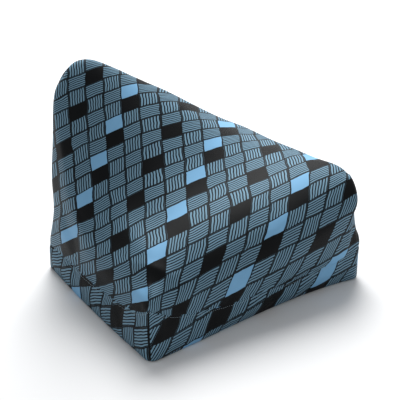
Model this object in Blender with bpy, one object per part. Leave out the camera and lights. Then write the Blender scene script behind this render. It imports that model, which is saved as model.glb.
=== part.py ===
"""Filled bean bag lounger cover: a soft sack with one corner drawn up to a peak, on a boxed foot band.

Metres, +Z up, origin at the middle of the base. The front runs along X on the -Y side. The seat is level
at the right front, and the back rises to a rounded peak over the back left corner (-X, +Y).

A place on the cover is given by two shares of the plan, u along the width from the left side and v along
the depth from the front, and by a height. The corners are named by side: front left is u 0, v 0.
"""
import math

import bmesh
import bpy
from mathutils import Vector

# Driving sizes of the filled cover.
WIDTH = 0.839               # along the front, side to side
DEPTH = 0.662               # front to back, at the foot
PEAK_HEIGHT = 0.819         # where the two ridge lines of the drawn-up corner would meet
SEAT_CROWN = 0.012          # extra height in the middle of the seat

# Height of the seat at each corner of the plan, before the edges are rounded.
SEAT_CORNERS = {"front_left": 0.290, "front_right": 0.433, "back_left": 0.344, "back_right": 0.300}

# The drawn-up corner.
PEAK_SHARE = 0.145          # place of the peak along the width
PEAK_RISE = 0.260           # climb of the ridge for a whole width, left of the peak
PEAK_SOFTNESS = 0.050       # how far the ridge rounds off under the peak
BACK_LEAN = 0.070           # how far the back wall leans in at the peak
SIDE_LEAN = 0.018           # how far the left side leans in at the peak
SWEEP_LEFT = 4.0            # how late the slope climbs towards the back at the left side,
SWEEP_RIGHT = 2.2           # and to the right of it
SWEEP_SHARE = 0.30          # share of the width over which the one turns into the other
CREST_SHARE = 0.95          # share of the depth at which the slope reaches its full height

# Top edge of each side: how far the rounding reaches inward and down.
EDGE_ROUNDING = {
    "left": {"inward": 0.098, "down": 0.164},
    "right": {"inward": 0.050, "down": 0.085},
    "front": {"inward": 0.170, "down": 0.160},
    "back": {"inward": 0.057, "down": 0.082},
}
PEAK_RADIUS = 0.094         # rounding of the peak
EDGE_BLEND = 0.100          # distance over which one side's rounding gives way to the next

# The seam between the sack and the foot band, which climbs at two corners.
SEAM_HEIGHT = 0.096
SEAM_CLIMBS = [
    {"u": 0.0, "v": 0.0, "climb": 0.100, "reach": 0.135},
    {"u": 1.0, "v": 0.0, "climb": 0.035, "reach": 0.090},
    {"u": 1.0, "v": 1.0, "climb": 0.035, "reach": 0.120},
]
SEAM_CHANNEL = {"width": 0.010, "depth": 0.006}

# Sides of the foot and of the sack.
FOOT_CORNER_RADIUS = 0.026
FOOT_EDGE = 0.008           # rounding between the band and the base
FOOT_DRAW = {"front": 0.027, "right": 0.002, "back": 0.024, "left": -0.010}
FOOT_DRAW_SKEW = 1.7        # above 1 the front is drawn in most to the right of its middle
SACK_SWELL = 0.014          # how far the sack swells past its foot between the corners
CORNER_FILL = 0.180         # height over which the plan corner opens to the sack's rounding

# The soft fold across the front left corner and the slack hollow under it. Its course is a set reach
# from the corner, where the reach of a place is the root of its distance over "across" for each of the
# two sides, added up.
FOLD_COURSE = {"across_x": 0.25, "across_y": 0.42}
FOLD_WAVES = [
    {"reach": 0.97, "spread": 0.085, "lift": 0.008},
    {"reach": 0.72, "spread": 0.130, "lift": -0.013},
]
FOLD_LIFT_DIRECTION = (-0.35, -0.45, 0.82)

# Mesh density.
WIDTH_CELLS = 36
DEPTH_CELLS = 28
SACK_ROWS = 9
BAND_ROWS = 4
EDGE_CROWDING = 0.75        # 0 spaces the cells evenly, 1 crowds them towards the sides


def smooth(t):
    t = min(max(t, 0.0), 1.0)
    return t * t * (3.0 - 2.0 * t)


def crowded(t):
    """Share of a side for an even count t, closer together near both ends."""
    return (1.0 - EDGE_CROWDING) * t + EDGE_CROWDING * (1.0 - math.cos(math.pi * t)) / 2.0


def seam_height(u, v):
    height = SEAM_HEIGHT
    for corner in SEAM_CLIMBS:
        distance = math.hypot((u - corner["u"]) * WIDTH, (v - corner["v"]) * DEPTH)
        height += corner["climb"] * math.exp(-distance / corner["reach"])
    return height


def ridge_height(u):
    """Height of the back ridge: up to the peak from the left, then straight down to the back right."""
    rise = PEAK_HEIGHT + PEAK_RISE * (u - PEAK_SHARE)
    fall_slope = (SEAT_CORNERS["back_right"] - PEAK_HEIGHT) / (1.0 - PEAK_SHARE)
    fall = PEAK_HEIGHT + fall_slope * (u - PEAK_SHARE)
    return (rise + fall - math.hypot(rise - fall, PEAK_SOFTNESS)) / 2.0


def roof_height(u, v):
    """Height of the sack's top before its edges are rounded."""
    front = SEAT_CORNERS["front_left"] * (1.0 - u) + SEAT_CORNERS["front_right"] * u
    back = SEAT_CORNERS["back_left"] * (1.0 - u) + SEAT_CORNERS["back_right"] * u
    seat = front * (1.0 - v) + back * v + SEAT_CROWN * 16.0 * u * (1.0 - u) * v * (1.0 - v)
    climb = max(ridge_height(u) - back, 0.0)
    sweep = SWEEP_LEFT + (SWEEP_RIGHT - SWEEP_LEFT) * smooth(u / SWEEP_SHARE)
    levelled = (1.0 - math.cos(math.pi * min(v / CREST_SHARE, 1.0) ** (0.5 + 0.55 * sweep))) / 2.0
    drawn_up = smooth(climb / 0.3)
    return seat + climb * (v ** sweep + drawn_up * (levelled - v ** sweep))


def edge_rounding(distances, u, v, height):
    """Inward and downward rounding at a place, from the nearest sides and the nearness of the peak."""
    roof = roof_height(u, v)
    near_peak = smooth((roof - 0.60 * PEAK_HEIGHT) / (0.26 * PEAK_HEIGHT))
    weights = {side: math.exp(-(distances[side] / EDGE_BLEND) ** 2) + 1e-4 for side in distances}
    down = sum(weights[side] * EDGE_ROUNDING[side]["down"] for side in weights) / sum(weights.values())
    down += (PEAK_RADIUS - down) * near_peak
    down = min(down, 0.98 * (roof - seam_height(u, v)))
    filled = smooth((height - seam_height(u, v)) / CORNER_FILL)
    inward = {}
    for side, rounding in EDGE_ROUNDING.items():
        sack = rounding["inward"] + (PEAK_RADIUS - rounding["inward"]) * near_peak
        inward[side] = FOOT_CORNER_RADIUS + (sack - FOOT_CORNER_RADIUS) * filled
    return inward, down


def place(u, v, height):
    """Point of the cover for two shares of the plan and a height, with its edges rounded."""
    seam, roof = seam_height(u, v), roof_height(u, v)
    above_seat = (height - SEAT_CORNERS["back_left"]) / (PEAK_HEIGHT - SEAT_CORNERS["back_left"])
    drawn_up = min(max(above_seat, 0.0), 1.0)
    left = SIDE_LEAN * drawn_up * v ** 3
    back = DEPTH - BACK_LEAN * drawn_up
    x = left + (WIDTH - left) * u
    y = back * v
    distances = {"left": x - left, "right": WIDTH - x, "front": y, "back": back - y}
    inward, down = edge_rounding(distances, u, v, height)

    # Past the inner box a point goes to the ellipsoid around the box's nearest corner or edge.
    side_x, sign_x = ("left", -1.0) if distances["left"] < distances["right"] else ("right", 1.0)
    side_y, sign_y = ("front", -1.0) if distances["front"] < distances["back"] else ("back", 1.0)
    past = Vector((
        max(1.0 - distances[side_x] / inward[side_x], 0.0),
        max(1.0 - distances[side_y] / inward[side_y], 0.0),
        max(1.0 - (roof - height) / down, 0.0),
    ))
    pull = 1.0 - 1.0 / max(past.length, 1.0)
    x -= sign_x * past.x * inward[side_x] * pull
    y -= sign_y * past.y * inward[side_y] * pull
    z = height - past.z * down * pull

    # The foot is drawn in between its corners, and the sack swells out above the seam.
    drawn = max(1.0 - z / seam, 0.0)
    swollen = math.sin(math.pi * min(max((z - seam) / (roof - seam), 0.0), 1.0))
    along_x = 1.0 - (2.0 * u ** FOOT_DRAW_SKEW - 1.0) ** 2
    along_y = 1.0 - (2.0 * v - 1.0) ** 2
    near_x, near_y = abs(2.0 * u - 1.0) ** 6, abs(2.0 * v - 1.0) ** 6
    x += sign_x * near_x * along_y * (SACK_SWELL * swollen - FOOT_DRAW[side_x] * drawn)
    y += sign_y * near_y * along_x * (SACK_SWELL * swollen - FOOT_DRAW[side_y] * drawn)
    return Vector((x - WIDTH / 2.0, y - DEPTH / 2.0, z))


def fold_lift(point):
    """Offset of the corner fold at a point of the sack."""
    from_left, from_front = max(point.x + WIDTH / 2.0, 0.0), max(point.y + DEPTH / 2.0, 0.0)
    reach = math.sqrt(from_left / FOLD_COURSE["across_x"])
    reach += math.sqrt(from_front / FOLD_COURSE["across_y"])
    lift = sum(
        wave["lift"] * math.exp(-((reach - wave["reach"]) / wave["spread"]) ** 2) for wave in FOLD_WAVES
    )
    above_seam = smooth((point.z - seam_height(0.0, 0.0)) / 0.10)
    return Vector(FOLD_LIFT_DIRECTION) * lift * above_seam


def inward_direction(u, v):
    """Level direction from a place on a side towards the middle."""
    toward = Vector(((0.5 - u) * abs(2.0 * u - 1.0) ** 6, (0.5 - v) * abs(2.0 * v - 1.0) ** 6, 0.0))
    return toward.normalized()


def ring_levels(u, v):
    """Height and inward tuck of each ring of vertices under the top edge, at a place on a side."""
    roof, seam, lip = roof_height(u, v), seam_height(u, v), SEAM_CHANNEL["width"]
    levels = []
    for row in range(1, SACK_ROWS + 1):
        share = (row / SACK_ROWS) ** 1.3
        levels.append((roof + (seam + lip - roof) * share, 0.0))
    levels.append((seam, SEAM_CHANNEL["depth"]))
    for row in range(BAND_ROWS + 1):
        levels.append((seam - lip + (FOOT_EDGE - seam + lip) * row / BAND_ROWS, 0.0))
    levels.append((0.3 * FOOT_EDGE, 0.3 * FOOT_EDGE))
    levels.append((0.0, FOOT_EDGE))
    return levels


def build_cover():
    """One closed body: a grid for the top, rings of quads down the sides, one flat face for the base."""
    bm = bmesh.new()
    bmesh.ops.create_grid(bm, x_segments=WIDTH_CELLS, y_segments=DEPTH_CELLS, size=0.5)
    ring_count = len(ring_levels(0.0, 0.0))

    # While the rings are added, a vertex holds its shares in x and y and its ring number in z.
    for vert in bm.verts:
        vert.co = (crowded(vert.co.x + 0.5), crowded(vert.co.y + 0.5), 0.0)
    rim = [edge for edge in bm.edges if edge.is_boundary]
    for _ in range(ring_count):
        grown = bmesh.ops.extrude_edge_only(bm, edges=rim)["geom"]
        for vert in grown:
            if isinstance(vert, bmesh.types.BMVert):
                vert.co.z += 1.0
        rim = [item for item in grown if isinstance(item, bmesh.types.BMEdge) and item.is_boundary]
    bmesh.ops.contextual_create(bm, geom=rim)

    for vert in bm.verts:
        u, v, ring = vert.co.x, vert.co.y, round(vert.co.z)
        if ring == 0:
            vert.co = place(u, v, roof_height(u, v))
            vert.co += fold_lift(vert.co)
        else:
            height, tuck = ring_levels(u, v)[ring - 1]
            vert.co = place(u, v, height)
            vert.co += fold_lift(vert.co) + inward_direction(u, v) * tuck
    bm.normal_update()
    bmesh.ops.recalc_face_normals(bm, faces=bm.faces)
    if bm.calc_volume(signed=True) < 0.0:
        bmesh.ops.reverse_faces(bm, faces=bm.faces)

    mesh = bpy.data.meshes.new("bean_bag_cover")
    bm.to_mesh(mesh)
    bm.free()
    for polygon in mesh.polygons:
        polygon.use_smooth = True
    cover = bpy.data.objects.new("bean_bag_cover", mesh)
    bpy.context.scene.collection.objects.link(cover)
    return cover


def centre_on_base(cover):
    """Move the mesh so that its bounding box stands on z 0, centred on the origin."""
    lows = [min(vert.co[axis] for vert in cover.data.vertices) for axis in range(3)]
    highs = [max(vert.co[axis] for vert in cover.data.vertices) for axis in range(3)]
    shift = Vector(((lows[0] + highs[0]) / 2.0, (lows[1] + highs[1]) / 2.0, lows[2]))
    for vert in cover.data.vertices:
        vert.co -= shift


def cloth_material():
    material = bpy.data.materials.new("printed_cloth")
    material.use_nodes = True
    shader = material.node_tree.nodes["Principled BSDF"]
    shader.inputs["Base Color"].default_value = (0.075, 0.118, 0.151, 1.0)
    shader.inputs["Roughness"].default_value = 0.9
    return material


for existing in list(bpy.data.objects):
    bpy.data.objects.remove(existing, do_unlink=True)

cover = build_cover()
centre_on_base(cover)
cover.data.materials.append(cloth_material())
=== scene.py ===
"""A filled bean bag lounger cover on a pale floor, sewn from printed cloth, one back corner drawn up."""
import math

import bmesh
import bpy
import numpy as np
from mathutils import Matrix, Vector, noise


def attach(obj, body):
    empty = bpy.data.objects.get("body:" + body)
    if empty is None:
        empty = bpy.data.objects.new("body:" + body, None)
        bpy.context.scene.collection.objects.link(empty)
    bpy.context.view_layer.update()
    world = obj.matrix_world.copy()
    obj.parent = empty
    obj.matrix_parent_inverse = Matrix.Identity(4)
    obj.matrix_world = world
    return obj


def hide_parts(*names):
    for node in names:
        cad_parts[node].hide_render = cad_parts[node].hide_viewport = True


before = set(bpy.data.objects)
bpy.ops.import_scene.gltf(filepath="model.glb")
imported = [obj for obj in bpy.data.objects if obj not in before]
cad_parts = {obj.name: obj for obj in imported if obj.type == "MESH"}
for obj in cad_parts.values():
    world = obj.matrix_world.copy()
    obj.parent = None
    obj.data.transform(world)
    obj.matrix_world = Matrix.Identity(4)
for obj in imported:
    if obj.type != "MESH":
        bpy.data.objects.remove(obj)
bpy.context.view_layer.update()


# ---------------------------------------------------------------------------------------------------------
# The filled cover: one soft sack of woven cloth on an upright foot band, with a flat base.
# It is made as a grid for the top panel and rings of quads down its sides, so every seam lies on a mesh
# line. The filling then presses the cloth outwards between the seams.

WIDTH = 0.839
DEPTH = 0.662
SEAT_CORNERS = {"front_left": 0.290, "front_right": 0.433, "back_left": 0.344, "back_right": 0.300}
SEAT_CROWN = 0.012
PEAK = {"height": 0.819, "share": 0.145, "rise": 0.260, "softness": 0.050, "radius": 0.094}
PEAK_ROUNDING = {"from": 0.60, "over": 0.26}
LEAN = {"back": 0.070, "side": 0.018}
SWEEP = {"left": 4.0, "right": 2.2, "share": 0.30, "crest_share": 0.95, "full_climb": 0.3}
CREST_POWER = {"least": 0.5, "per_sweep": 0.55}
EDGE_ROUNDING = {
    "left": {"inward": 0.098, "down": 0.164},
    "right": {"inward": 0.050, "down": 0.085},
    "front": {"inward": 0.170, "down": 0.160},
    "back": {"inward": 0.057, "down": 0.082},
}
EDGE_BLEND = 0.100
MOST_ROUNDING = 0.98
SIDE_POWER = 6
SEAM_HEIGHT = 0.096
SEAM_CLIMBS = [
    {"u": 0.0, "v": 0.0, "climb": 0.100, "reach": 0.135},
    {"u": 1.0, "v": 0.0, "climb": 0.035, "reach": 0.090},
    {"u": 1.0, "v": 1.0, "climb": 0.035, "reach": 0.120},
]
SEAM_CHANNEL = {"width": 0.007, "depth": 0.004}
CORNER_SEAM_TUCK = 0.003
FOOT_CORNER_RADIUS = 0.026
FOOT_EDGE = 0.008
FOOT_DRAW = {"front": 0.027, "right": 0.002, "back": 0.024, "left": -0.010}
FOOT_DRAW_SKEW = 1.7
SACK_SWELL = 0.014
CORNER_FILL = 0.180
WIDTH_CELLS, DEPTH_CELLS = 72, 56
CELL_SPACING = {"even": 0.35, "crowded": 0.65}
SACK_ROWS, BAND_ROWS = 20, 9
SACK_ROW_POWER = 1.2
FOOT_CHAMFER = 0.3


def smooth(t):
    t = min(max(t, 0.0), 1.0)
    return t * t * (3.0 - 2.0 * t)


def crowded(t):
    """Share of the plan for a share of its cells, which crowd towards the edges."""
    return CELL_SPACING["even"] * t + CELL_SPACING["crowded"] * (1.0 - math.cos(math.pi * t)) / 2.0


def seam_height(u, v):
    height = SEAM_HEIGHT
    for corner in SEAM_CLIMBS:
        distance = math.hypot((u - corner["u"]) * WIDTH, (v - corner["v"]) * DEPTH)
        height += corner["climb"] * math.exp(-distance / corner["reach"])
    return height


def seat_height(u, v):
    front = SEAT_CORNERS["front_left"] * (1.0 - u) + SEAT_CORNERS["front_right"] * u
    back = SEAT_CORNERS["back_left"] * (1.0 - u) + SEAT_CORNERS["back_right"] * u
    return front * (1.0 - v) + back * v + SEAT_CROWN * 16.0 * u * (1.0 - u) * v * (1.0 - v)


def roof_height(u, v):
    """Height of the sack's top before its edges are rounded: the seat, and the climb to the ridge."""
    rise = PEAK["height"] + PEAK["rise"] * (u - PEAK["share"])
    fall_slope = (SEAT_CORNERS["back_right"] - PEAK["height"]) / (1.0 - PEAK["share"])
    fall = PEAK["height"] + fall_slope * (u - PEAK["share"])
    ridge = (rise + fall - math.hypot(rise - fall, PEAK["softness"])) / 2.0
    climb = max(ridge - seat_height(u, 1.0), 0.0)
    sweep = SWEEP["left"] + (SWEEP["right"] - SWEEP["left"]) * smooth(u / SWEEP["share"])
    power = CREST_POWER["least"] + CREST_POWER["per_sweep"] * sweep
    levelled = (1.0 - math.cos(math.pi * min(v / SWEEP["crest_share"], 1.0) ** power)) / 2.0
    drawn_up = smooth(climb / SWEEP["full_climb"])
    return seat_height(u, v) + climb * (v ** sweep + drawn_up * (levelled - v ** sweep))


def place(u, v, height):
    """Point of the cover for two shares of its plan and a height, with its edges rounded."""
    seam, roof = seam_height(u, v), roof_height(u, v)
    low = SEAT_CORNERS["back_left"]
    drawn_up = min(max((height - low) / (PEAK["height"] - low), 0.0), 1.0)
    left = LEAN["side"] * drawn_up * v ** 3
    back = DEPTH - LEAN["back"] * drawn_up
    x, y = left + (WIDTH - left) * u, back * v
    distances = {"left": x - left, "right": WIDTH - x, "front": y, "back": back - y}
    rounded_from = PEAK_ROUNDING["from"] * PEAK["height"]
    near_peak = smooth((roof - rounded_from) / (PEAK_ROUNDING["over"] * PEAK["height"]))
    weights = {side: math.exp(-(distances[side] / EDGE_BLEND) ** 2) + 1e-4 for side in distances}
    down = sum(weights[side] * EDGE_ROUNDING[side]["down"] for side in weights) / sum(weights.values())
    down = min(down + (PEAK["radius"] - down) * near_peak, MOST_ROUNDING * (roof - seam))
    filled = smooth((height - seam) / CORNER_FILL)
    inward = {}
    for side, rounding in EDGE_ROUNDING.items():
        sack = rounding["inward"] + (PEAK["radius"] - rounding["inward"]) * near_peak
        inward[side] = FOOT_CORNER_RADIUS + (sack - FOOT_CORNER_RADIUS) * filled
    side_x, sign_x = ("left", -1.0) if distances["left"] < distances["right"] else ("right", 1.0)
    side_y, sign_y = ("front", -1.0) if distances["front"] < distances["back"] else ("back", 1.0)
    past = Vector((
        max(1.0 - distances[side_x] / inward[side_x], 0.0),
        max(1.0 - distances[side_y] / inward[side_y], 0.0),
        max(1.0 - (roof - height) / down, 0.0),
    ))
    pull = 1.0 - 1.0 / max(past.length, 1.0)
    x -= sign_x * past.x * inward[side_x] * pull
    y -= sign_y * past.y * inward[side_y] * pull
    z = height - past.z * down * pull
    drawn = max(1.0 - z / seam, 0.0)
    swollen = math.sin(math.pi * min(max((z - seam) / (roof - seam), 0.0), 1.0))
    along_x = 1.0 - (2.0 * u ** FOOT_DRAW_SKEW - 1.0) ** 2
    along_y = 1.0 - (2.0 * v - 1.0) ** 2
    near_x, near_y = abs(2.0 * u - 1.0) ** SIDE_POWER, abs(2.0 * v - 1.0) ** SIDE_POWER
    x += sign_x * near_x * along_y * (SACK_SWELL * swollen - FOOT_DRAW[side_x] * drawn)
    y += sign_y * near_y * along_x * (SACK_SWELL * swollen - FOOT_DRAW[side_y] * drawn)
    return Vector((x, y, z))


def ring_levels(u, v):
    """Height and inward tuck of each ring under the top edge, at a place on a side."""
    roof, seam, lip = roof_height(u, v), seam_height(u, v), SEAM_CHANNEL["width"]
    levels = []
    for row in range(1, SACK_ROWS + 1):
        levels.append((roof + (seam + lip - roof) * (row / SACK_ROWS) ** SACK_ROW_POWER, 0.0))
    levels.append((seam, SEAM_CHANNEL["depth"]))
    for row in range(BAND_ROWS + 1):
        levels.append((seam - lip + (FOOT_EDGE - seam + lip) * row / BAND_ROWS, 0.0))
    levels.append((FOOT_CHAMFER * FOOT_EDGE, FOOT_CHAMFER * FOOT_EDGE))
    levels.append((0.0, FOOT_EDGE))
    return levels


SEAM_RING = SACK_ROWS + 1
RING_COUNT = len(ring_levels(0.0, 0.0))
sewn = bmesh.new()
bmesh.ops.create_grid(sewn, x_segments=WIDTH_CELLS, y_segments=DEPTH_CELLS, size=0.5)
for vert in sewn.verts:
    vert.co = (crowded(vert.co.x + 0.5), crowded(vert.co.y + 0.5), 0.0)
rim = [edge for edge in sewn.edges if edge.is_boundary]
for _ in range(RING_COUNT):
    grown = bmesh.ops.extrude_edge_only(sewn, edges=rim)["geom"]
    for vert in grown:
        if isinstance(vert, bmesh.types.BMVert):
            vert.co.z += 1.0
    rim = [item for item in grown if isinstance(item, bmesh.types.BMEdge) and item.is_boundary]
base_face = bmesh.ops.contextual_create(sewn, geom=rim)["faces"][0]

# Each corner of each face keeps its place on the cover: its two plan shares and its ring.
share_u = sewn.verts.layers.float.new("share_u")
share_v = sewn.verts.layers.float.new("share_v")
ring_of = sewn.verts.layers.float.new("ring")
for vert in sewn.verts:
    vert[share_u], vert[share_v], vert[ring_of] = vert.co.x, vert.co.y, round(vert.co.z)
    u, v, ring = vert.co.x, vert.co.y, round(vert.co.z)
    if ring == 0:
        vert.co = place(u, v, roof_height(u, v))
    else:
        height, tuck = ring_levels(u, v)[ring - 1]
        inward_x = (0.5 - u) * abs(2.0 * u - 1.0) ** SIDE_POWER
        inward_y = (0.5 - v) * abs(2.0 * v - 1.0) ** SIDE_POWER
        at_corner = u in (0.0, 1.0) and v in (0.0, 1.0)
        if at_corner and (ring > SEAM_RING or (u, v) != (0.0, 0.0)):
            tuck += CORNER_SEAM_TUCK
        vert.co = place(u, v, height) + Vector((inward_x, inward_y, 0.0)).normalized() * tuck
sewn.normal_update()
bmesh.ops.recalc_face_normals(sewn, faces=sewn.faces)
if sewn.calc_volume(signed=True) < 0.0:
    bmesh.ops.reverse_faces(sewn, faces=sewn.faces)

# The cloth's own flat coordinates, in metres, from the front left corner of the foot. One cloth covers the
# top, the front and the left side. Where the filling lifts or drops it, it is drawn along one thread line,
# which the print slants along too.
THREAD_LINE = {"x": 0.5, "y": 0.866}
RISE_STRETCH = 1.5
FRONT_BLEND = {"from": -0.04, "over": 0.16}
LEFT_GATHER = 0.25
HIDDEN_SHIFT = {"right": 0.7, "back": 0.3}
BAND_SHIFT = {"left": (0.02, 0.01), "front": (0.03, 0.02), "right": (0.05, 0.02), "back": (0.01, 0.03)}


def side_of(u, v):
    gaps = {"left": u * WIDTH, "right": (1.0 - u) * WIDTH, "front": v * DEPTH, "back": (1.0 - v) * DEPTH}
    return min(gaps, key=gaps.get)


def main_cloth(point, u, v):
    x, y, z = point
    thread_x, thread_y = THREAD_LINE["x"], THREAD_LINE["y"]
    lift = z - seat_height(u, v)
    across = thread_y * x - thread_x * y
    front = smooth((across - FRONT_BLEND["from"]) / FRONT_BLEND["over"]) if lift < 0.0 else 0.0
    gathered = LEFT_GATHER * min(across, 0.0)
    cloth_u = x + (1.0 - front) * thread_x * RISE_STRETCH * lift + thread_y * gathered
    cloth_v = y + ((1.0 - front) * thread_y * RISE_STRETCH + front) * lift - thread_x * gathered
    return cloth_u, cloth_v


def hidden_cloth(point, side):
    x, y, z = point
    along = x if side == "back" else y
    return along + HIDDEN_SHIFT[side], z


def band_cloth(point, side, u, v):
    x, y, z = point
    shift = BAND_SHIFT[side]
    if side == "front":
        return x + shift[0], y + z - seat_height(u, v) + shift[1]
    along = {"left": z, "right": y, "back": -x}[side]
    up = -y if side == "left" else z
    return along + shift[0], up + shift[1]


cloth_uv = sewn.loops.layers.uv.new("cloth")
for face in sewn.faces:
    rings = [vert[ring_of] for vert in face.verts]
    middle_u = sum(vert[share_u] for vert in face.verts) / len(face.verts)
    middle_v = sum(vert[share_v] for vert in face.verts) / len(face.verts)
    side = side_of(middle_u, middle_v)
    for loop in face.loops:
        point, u, v = loop.vert.co, loop.vert[share_u], loop.vert[share_v]
        if face == base_face:
            flat = (point.x, point.y)
        elif min(rings) >= SEAM_RING:
            flat = band_cloth(point, side, u, v)
        elif max(rings) > 0 and side in ("back", "right"):
            flat = hidden_cloth(point, side)
        else:
            flat = main_cloth(point, u, v)
        loop[cloth_uv].uv = flat

# The whole cover stands centred on the origin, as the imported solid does.
lows = [min(vert.co[axis] for vert in sewn.verts) for axis in range(3)]
highs = [max(vert.co[axis] for vert in sewn.verts) for axis in range(3)]
centre = Vector(((lows[0] + highs[0]) / 2.0, (lows[1] + highs[1]) / 2.0, 0.0))
bmesh.ops.translate(sewn, verts=sewn.verts, vec=-centre)


def by_corners(item):
    return sorted(vert.index for vert in item.verts)


# The operators leave edges and faces in an order that varies. They are put in one order here, so that the
# filling settles the same way each time.
sewn.verts.index_update()
for items in (sewn.edges, sewn.faces):
    ranks = {item: rank for rank, item in enumerate(sorted(items, key=by_corners))}
    items.sort(key=lambda item: ranks[item])

shares = [(vert[share_u], vert[share_v], round(vert[ring_of])) for vert in sewn.verts]
cover_mesh = bpy.data.meshes.new("cover_cloth")
sewn.to_mesh(cover_mesh)
sewn.free()
for polygon in cover_mesh.polygons:
    polygon.use_smooth = True
cover = bpy.data.objects.new("cover_cloth", cover_mesh)
bpy.context.scene.collection.objects.link(cover)

# The bead filling presses the cloth out between its seams, which hold. No point moves further than the cap.
FILLING = {"pressure": 3.0, "slack": -0.012, "frames": 16, "cap": 0.006}
points = np.array([vert.co for vert in cover_mesh.vertices])
held = cover.vertex_groups.new(name="sewn down")
sewn_down = [n for n, (_, _, ring) in enumerate(shares) if ring == SEAM_RING or ring >= RING_COUNT - 1]
held.add(sewn_down, 1.0, "REPLACE")
pressed = cover.modifiers.new("filling", "CLOTH")
pressed.settings.quality = 5
pressed.settings.mass = 0.4
pressed.settings.tension_stiffness = pressed.settings.compression_stiffness = 40.0
pressed.settings.shear_stiffness = 12.0
pressed.settings.bending_stiffness = 1.5
pressed.settings.vertex_group_mass = "sewn down"
pressed.settings.use_pressure = True
pressed.settings.uniform_pressure_force = FILLING["pressure"]
pressed.settings.shrink_min = FILLING["slack"]
pressed.settings.effector_weights.gravity = 0.0
pressed.collision_settings.use_collision = False
for frame_number in range(1, FILLING["frames"] + 1):
    bpy.context.scene.frame_set(frame_number)
settled = cover.evaluated_get(bpy.context.evaluated_depsgraph_get()).data
moved = np.array([vert.co for vert in settled.vertices]) - points
length = np.maximum(np.linalg.norm(moved, axis=1), 1e-9)
points = points + moved * np.minimum(1.0, FILLING["cap"] / length)[:, None]
cover.modifiers.remove(pressed)
cover.vertex_groups.clear()
bpy.context.scene.frame_set(1)
cover_mesh.vertices.foreach_set("co", points.ravel())

# The soft fold across the front left corner, the gathers beside the foot seam, and the lie of the beads.
FOLD_COURSE = {"across_x": 0.25, "across_y": 0.42, "fade": 0.10}
FOLD_WAVES = [
    {"reach": 0.97, "spread": 0.060, "lift": 0.0075},
    {"reach": 0.72, "spread": 0.130, "lift": -0.0135},
]
FOLD_LIFT_DIRECTION = Vector((-0.35, -0.45, 0.82))
GATHERS = {"every": 0.028, "depth": 0.0030, "reach": 0.030, "height": 0.12, "variant": 3.7}
BEADS = {"every": 0.16, "depth": 0.0030}


def along_rim(u, v):
    """Distance round the foot from the front left corner."""
    side = side_of(u, v)
    return {
        "front": u * WIDTH,
        "right": WIDTH + v * DEPTH,
        "back": WIDTH + DEPTH + (1.0 - u) * WIDTH,
        "left": 2.0 * WIDTH + DEPTH + (1.0 - v) * DEPTH,
    }[side]


normals = [vert.normal.copy() for vert in cover_mesh.vertices]
for vert, normal, (u, v, ring) in zip(cover_mesh.vertices, normals, shares):
    x, y, z = vert.co + centre
    reach_x = math.sqrt(max(x, 0.0) / FOLD_COURSE["across_x"])
    reach_y = math.sqrt(max(y, 0.0) / FOLD_COURSE["across_y"])
    reach = reach_x + reach_y
    lift = sum(w["lift"] * math.exp(-((reach - w["reach"]) / w["spread"]) ** 2) for w in FOLD_WAVES)
    offset = FOLD_LIFT_DIRECTION * lift * smooth((z - seam_height(0.0, 0.0)) / FOLD_COURSE["fade"])
    if ring < RING_COUNT - 3:
        offset += normal * BEADS["depth"] * noise.noise(Vector((x, y, z)) / BEADS["every"])
    if 0 < ring < RING_COUNT - 3 and ring != SEAM_RING:
        from_seam = abs(z - seam_height(u, v))
        along, up = along_rim(u, v) / GATHERS["every"], from_seam / GATHERS["height"]
        wave = noise.noise(Vector((along, up, GATHERS["variant"])))
        offset += normal * GATHERS["depth"] * wave * math.exp(-from_seam / GATHERS["reach"])
    vert.co += offset
under_seam = [n for n, (_, _, ring) in enumerate(shares) if ring == SEAM_RING + 1]
seam_line = sorted((along_rim(*shares[n][:2]), n) for n in under_seam)
stitch_path = []
for _, n in seam_line:
    vert = cover_mesh.vertices[n]
    stitch_path.append((vert.co.copy(), vert.normal.copy()))
finer = cover.modifiers.new("finer cloth", "SUBSURF")
finer.levels = finer.render_levels = 1


class Value:
    """A socket of a material's node tree. Calculating with it adds the Math nodes."""

    def __init__(self, tree, socket):
        self.tree, self.socket = tree, socket

    def node(self, kind, settings=None, outputs=0, **inputs):
        made = self.tree.nodes.new(kind)
        for name, setting in (settings or {}).items():
            setattr(made, name, setting)
        for name, value in inputs.items():
            key = int(name[1:]) if name[0] == "_" else name.replace("_", " ")
            if isinstance(value, Value):
                self.tree.links.new(value.socket, made.inputs[key])
            else:
                made.inputs[key].default_value = value
        return Value(self.tree, made.outputs[outputs])

    def output(self, number):
        """Another output of the node that this value comes from."""
        return Value(self.tree, self.socket.node.outputs[number])

    def maths(self, operation, *others):
        values = {f"_{place}": value for place, value in enumerate((self, *others))}
        return self.node("ShaderNodeMath", {"operation": operation}, **values)

    def __add__(self, other):
        return self.maths("ADD", other)

    __radd__ = __add__

    def __sub__(self, other):
        return self.maths("SUBTRACT", other)

    def __rsub__(self, other):
        return (self * -1.0) + other

    def __mul__(self, other):
        return self.maths("MULTIPLY", other)

    __rmul__ = __mul__

    def __truediv__(self, other):
        return self.maths("DIVIDE", other)

    def __mod__(self, other):
        return self.maths("FLOORED_MODULO", other)

    def floor(self):
        return self.maths("FLOOR")

    def least(self, other):
        return self.maths("MINIMUM", other)

    def size(self):
        return self.maths("ABSOLUTE")

    def is_number(self, whole):
        """1 where a whole-number value is this number, and 0 elsewhere."""
        return self.maths("COMPARE", whole, 0.4)

    def soft_step(self, low, high):
        """0 under low, 1 over high, smooth between."""
        return self.node("ShaderNodeMapRange", {"interpolation_type": "SMOOTHSTEP", "clamp": True},
                         _0=self, _1=low, _2=high, _3=0.0, _4=1.0)

    def colours(self, zero, one):
        """Mix two colours by this value."""
        return self.node("ShaderNodeMix", {"data_type": "RGBA"}, outputs=2, _0=self, _6=zero, _7=one)


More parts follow.
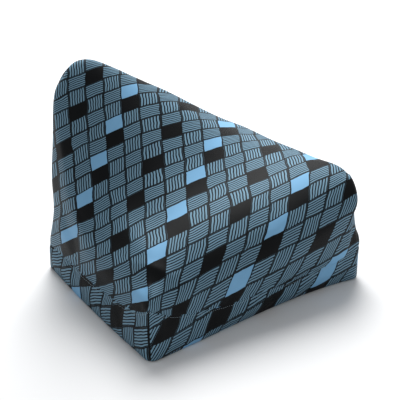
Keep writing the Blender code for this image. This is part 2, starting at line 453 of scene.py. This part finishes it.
# The print: a plain parquet of lozenges outlined in black. They are lined in pale ink, along the row and
# along the slant by turns, and some are plainly filled.
LOZENGE = 0.078
LOZENGE_HEIGHT = LOZENGE * THREAD_LINE["y"]
BEFORE_CORNER = 10.0
INK_BLACK = (0.0030, 0.0036, 0.0042, 1.0)
INK_LINED = (0.155, 0.275, 0.365, 1.0)
INK_BRIGHT = (0.185, 0.390, 0.600, 1.0)
LINES = {"across": 7.0, "black": 0.45, "softness": 0.12}
BORDER = {"width": 0.035, "wander": 0.008, "wander_scale": 9.0, "softness": 0.006}
FILL_STEP, FILL_PERIOD = 3.0, 7.0
DARK_TURN, BRIGHT_TURN = 0.0, 3.0
HAND_WOBBLE = {"reach": 0.010, "scale": 16.0}
WEAVE = {"threads": 1150.0, "strength": 0.25, "depth": 0.0006}

printed = bpy.data.materials.new("printed_cloth_weave")
printed.use_nodes = True
tree = printed.node_tree
shader = tree.nodes["Principled BSDF"]
start = Value(tree, None)
flat = start.node("ShaderNodeUVMap", {"uv_map": "cloth"})
wobble = start.node("ShaderNodeTexNoise", {"noise_dimensions": "2D"}, outputs=1,
                    Vector=flat, Scale=HAND_WOBBLE["scale"], Detail=2.0, Roughness=0.5)
split_wobble = start.node("ShaderNodeSeparateColor", {}, outputs=0, Color=wobble)
wobble_u = (split_wobble - 0.5) * HAND_WOBBLE["reach"]
wobble_v = (split_wobble.output(1) - 0.5) * HAND_WOBBLE["reach"]
flat_u = start.node("ShaderNodeSeparateXYZ", {}, outputs=0, Vector=flat)
flat_v = flat_u.output(1)

# The repeat starts ten lozenges before the cloth's front left corner.
row = (flat_v + wobble_v + BEFORE_CORNER * LOZENGE_HEIGHT) / LOZENGE_HEIGHT
column = (flat_u + wobble_u + BEFORE_CORNER * LOZENGE) / LOZENGE - row * THREAD_LINE["x"]
row_number, column_number = row.floor(), column.floor()
in_row, in_column = row - row_number, column - column_number
from_row = 0.5 - (in_row - 0.5).size()
from_column = 0.5 - (in_column - 0.5).size()
nearest = from_row.least(from_column)

# In each row every seventh lozenge is dark, and in every other row one more of the seven is bright.
turn = (column_number + row_number * FILL_STEP) % FILL_PERIOD
dark = turn.is_number(DARK_TURN)
bright = turn.is_number(BRIGHT_TURN) * (row_number % 2.0)

# The others are lined along the row and along the slant, turn and turn about.
slanting = (column_number + row_number) % 2.0
across_lines = in_row + slanting * (in_column - in_row)
line_wave = ((across_lines * LINES["across"]) % 1.0 - 0.5).size() * 2.0
lined = (line_wave - LINES["black"]).soft_step(-LINES["softness"], LINES["softness"])

wander = start.node("ShaderNodeTexNoise", {"noise_dimensions": "2D"},
                    Vector=flat, Scale=BORDER["wander_scale"], Detail=1.0)
border_width = (wander - 0.5) * (2.0 * BORDER["wander"]) + BORDER["width"]
inside = (nearest - border_width).soft_step(-BORDER["softness"], BORDER["softness"])

unfilled = (1.0 - bright) * (1.0 - dark)
ink = (lined * inside * unfilled).colours(INK_BLACK, INK_LINED)
ink = (bright * inside).colours(ink, INK_BRIGHT)
tree.links.new(ink.socket, shader.inputs["Base Color"])
weave_u = (flat_u * (WEAVE["threads"] * math.pi)).maths("SINE")
weave_v = (flat_v * (WEAVE["threads"] * math.pi)).maths("SINE")
weave = start.node("ShaderNodeBump", {},
                   Strength=WEAVE["strength"], Distance=WEAVE["depth"], Height=weave_u * weave_v)
tree.links.new(weave.socket, shader.inputs["Normal"])
shader.inputs["Roughness"].default_value = 0.55
shader.inputs["Specular IOR Level"].default_value = 0.10
cover_mesh.materials.append(printed)

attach(cover, "root")
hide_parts("bean_bag_cover")


# ---------------------------------------------------------------------------------------------------------
# The topstitching: one run of pale thread all round the foot band, just under the seam.
# Each stitch is a short thread lying on the cloth, with a gap to the next where it goes through.

STITCH = {"length": 0.0052, "every": 0.0078, "thickness": 0.0010, "proud": 0.0004}
THREAD_SHADED = (0.22, 0.30, 0.34, 1.0)
THREAD_PALE = (0.42, 0.52, 0.58, 1.0)
thread = bmesh.new()
half_length, half_thickness = STITCH["length"] / 2.0, STITCH["thickness"] / 2.0
stitch_size = Matrix.Diagonal((half_length, half_thickness, half_thickness, 1.0))
travelled, next_stitch = 0.0, 0.0
for (here, out), (there, _) in zip(stitch_path, stitch_path[1:] + stitch_path[:1]):
    step = there - here
    while next_stitch < travelled + step.length:
        along = (next_stitch - travelled) / step.length
        turn_to = step.to_track_quat("X", "Z").to_matrix().to_4x4()
        middle = here + step * along + out * STITCH["proud"]
        bmesh.ops.create_uvsphere(thread, u_segments=6, v_segments=4, radius=1.0,
                                  matrix=Matrix.Translation(middle) @ turn_to @ stitch_size)
        next_stitch += STITCH["every"]
    travelled += step.length
stitch_mesh = bpy.data.meshes.new("foot_topstitch")
thread.to_mesh(stitch_mesh)
thread.free()
for polygon in stitch_mesh.polygons:
    polygon.use_smooth = True
stitching = bpy.data.objects.new("foot_topstitch", stitch_mesh)
bpy.context.scene.collection.objects.link(stitching)

spun = bpy.data.materials.new("pale_thread")
spun.use_nodes = True
thread_shader = spun.node_tree.nodes["Principled BSDF"]
place_on = Value(spun.node_tree, None).node("ShaderNodeTexCoord", {}, outputs=3)
shade = place_on.node("ShaderNodeTexNoise", {}, Vector=place_on, Scale=900.0, Detail=2.0)
tint = shade.colours(THREAD_SHADED, THREAD_PALE)
spun.node_tree.links.new(tint.socket, thread_shader.inputs["Base Color"])
thread_shader.inputs["Roughness"].default_value = 0.7
stitch_mesh.materials.append(spun)
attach(stitching, "root")


# ---------------------------------------------------------------------------------------------------------
# The floor and the light: a plain pale floor, two large soft lamps behind and above, and an even pale sky.

FLOOR_SIZE = 40.0
FLOOR_COLOUR = (0.82, 0.82, 0.82, 1.0)
SKY = {"colour": (0.95, 0.97, 1.0, 1.0), "strength": 0.50}
LAMP_DISTANCE = 4.0
LAMP_AIM = Vector((0.0, 0.0, 0.3))
LAMPS = [
    {"name": "key", "away": 0.50, "right": -0.05, "size": 2.6, "power": 190.0},
    {"name": "low back lamp", "away": 1.6, "right": 0.1, "size": 3.0, "power": 55.0},
]

bpy.ops.mesh.primitive_plane_add(size=FLOOR_SIZE, location=(0.0, 0.0, 0.0))
floor = bpy.context.object
floor.name = "floor"
pale = bpy.data.materials.new("pale_floor")
pale.use_nodes = True
pale.node_tree.nodes["Principled BSDF"].inputs["Base Color"].default_value = FLOOR_COLOUR
pale.node_tree.nodes["Principled BSDF"].inputs["Roughness"].default_value = 0.8
floor.data.materials.append(pale)

sky = bpy.context.scene.world or bpy.data.worlds.new("sky")
bpy.context.scene.world = sky
sky.use_nodes = True
sky.node_tree.nodes["Background"].inputs["Color"].default_value = SKY["colour"]
sky.node_tree.nodes["Background"].inputs["Strength"].default_value = SKY["strength"]

# The lamps stand behind the bag as the camera sees it, which looks 34 degrees round from the depth line.
LOOKING = math.radians(34.0)
AWAY = Vector((math.sin(LOOKING), math.cos(LOOKING), 0.0))
RIGHT = Vector((math.cos(LOOKING), -math.sin(LOOKING), 0.0))
for lamp in LAMPS:
    light = bpy.data.lights.new(lamp["name"], "AREA")
    light.shape, light.size, light.energy = "DISK", lamp["size"], lamp["power"]
    holder = bpy.data.objects.new(lamp["name"], light)
    bearing = Vector((0.0, 0.0, 1.0)) + lamp["away"] * AWAY + lamp["right"] * RIGHT
    holder.location = bearing.normalized() * LAMP_DISTANCE
    holder.rotation_euler = (LAMP_AIM - holder.location).to_track_quat("-Z", "Y").to_euler()
    bpy.context.scene.collection.objects.link(holder)
bpy.context.scene.view_settings.view_transform = "Standard"


# ---------------------------------------------------------------------------------------------------------
# The camera: a long lens, well above the seat, looking over the front left corner.

VIEW = {"down": math.radians(30.3), "distance": 3.95, "aim": Vector((-0.014, -0.004, 0.292))}
LENS = {"focal": 108.0, "sensor": 36.0}

lens = bpy.data.cameras.new("camera")
lens.lens, lens.sensor_width = LENS["focal"], LENS["sensor"]
camera = bpy.data.objects.new("camera", lens)
towards = AWAY * math.cos(VIEW["down"]) - Vector((0.0, 0.0, math.sin(VIEW["down"])))
camera.location = VIEW["aim"] - towards * VIEW["distance"]
camera.rotation_euler = towards.to_track_quat("-Z", "Y").to_euler()
bpy.context.scene.collection.objects.link(camera)
bpy.context.scene.camera = camera
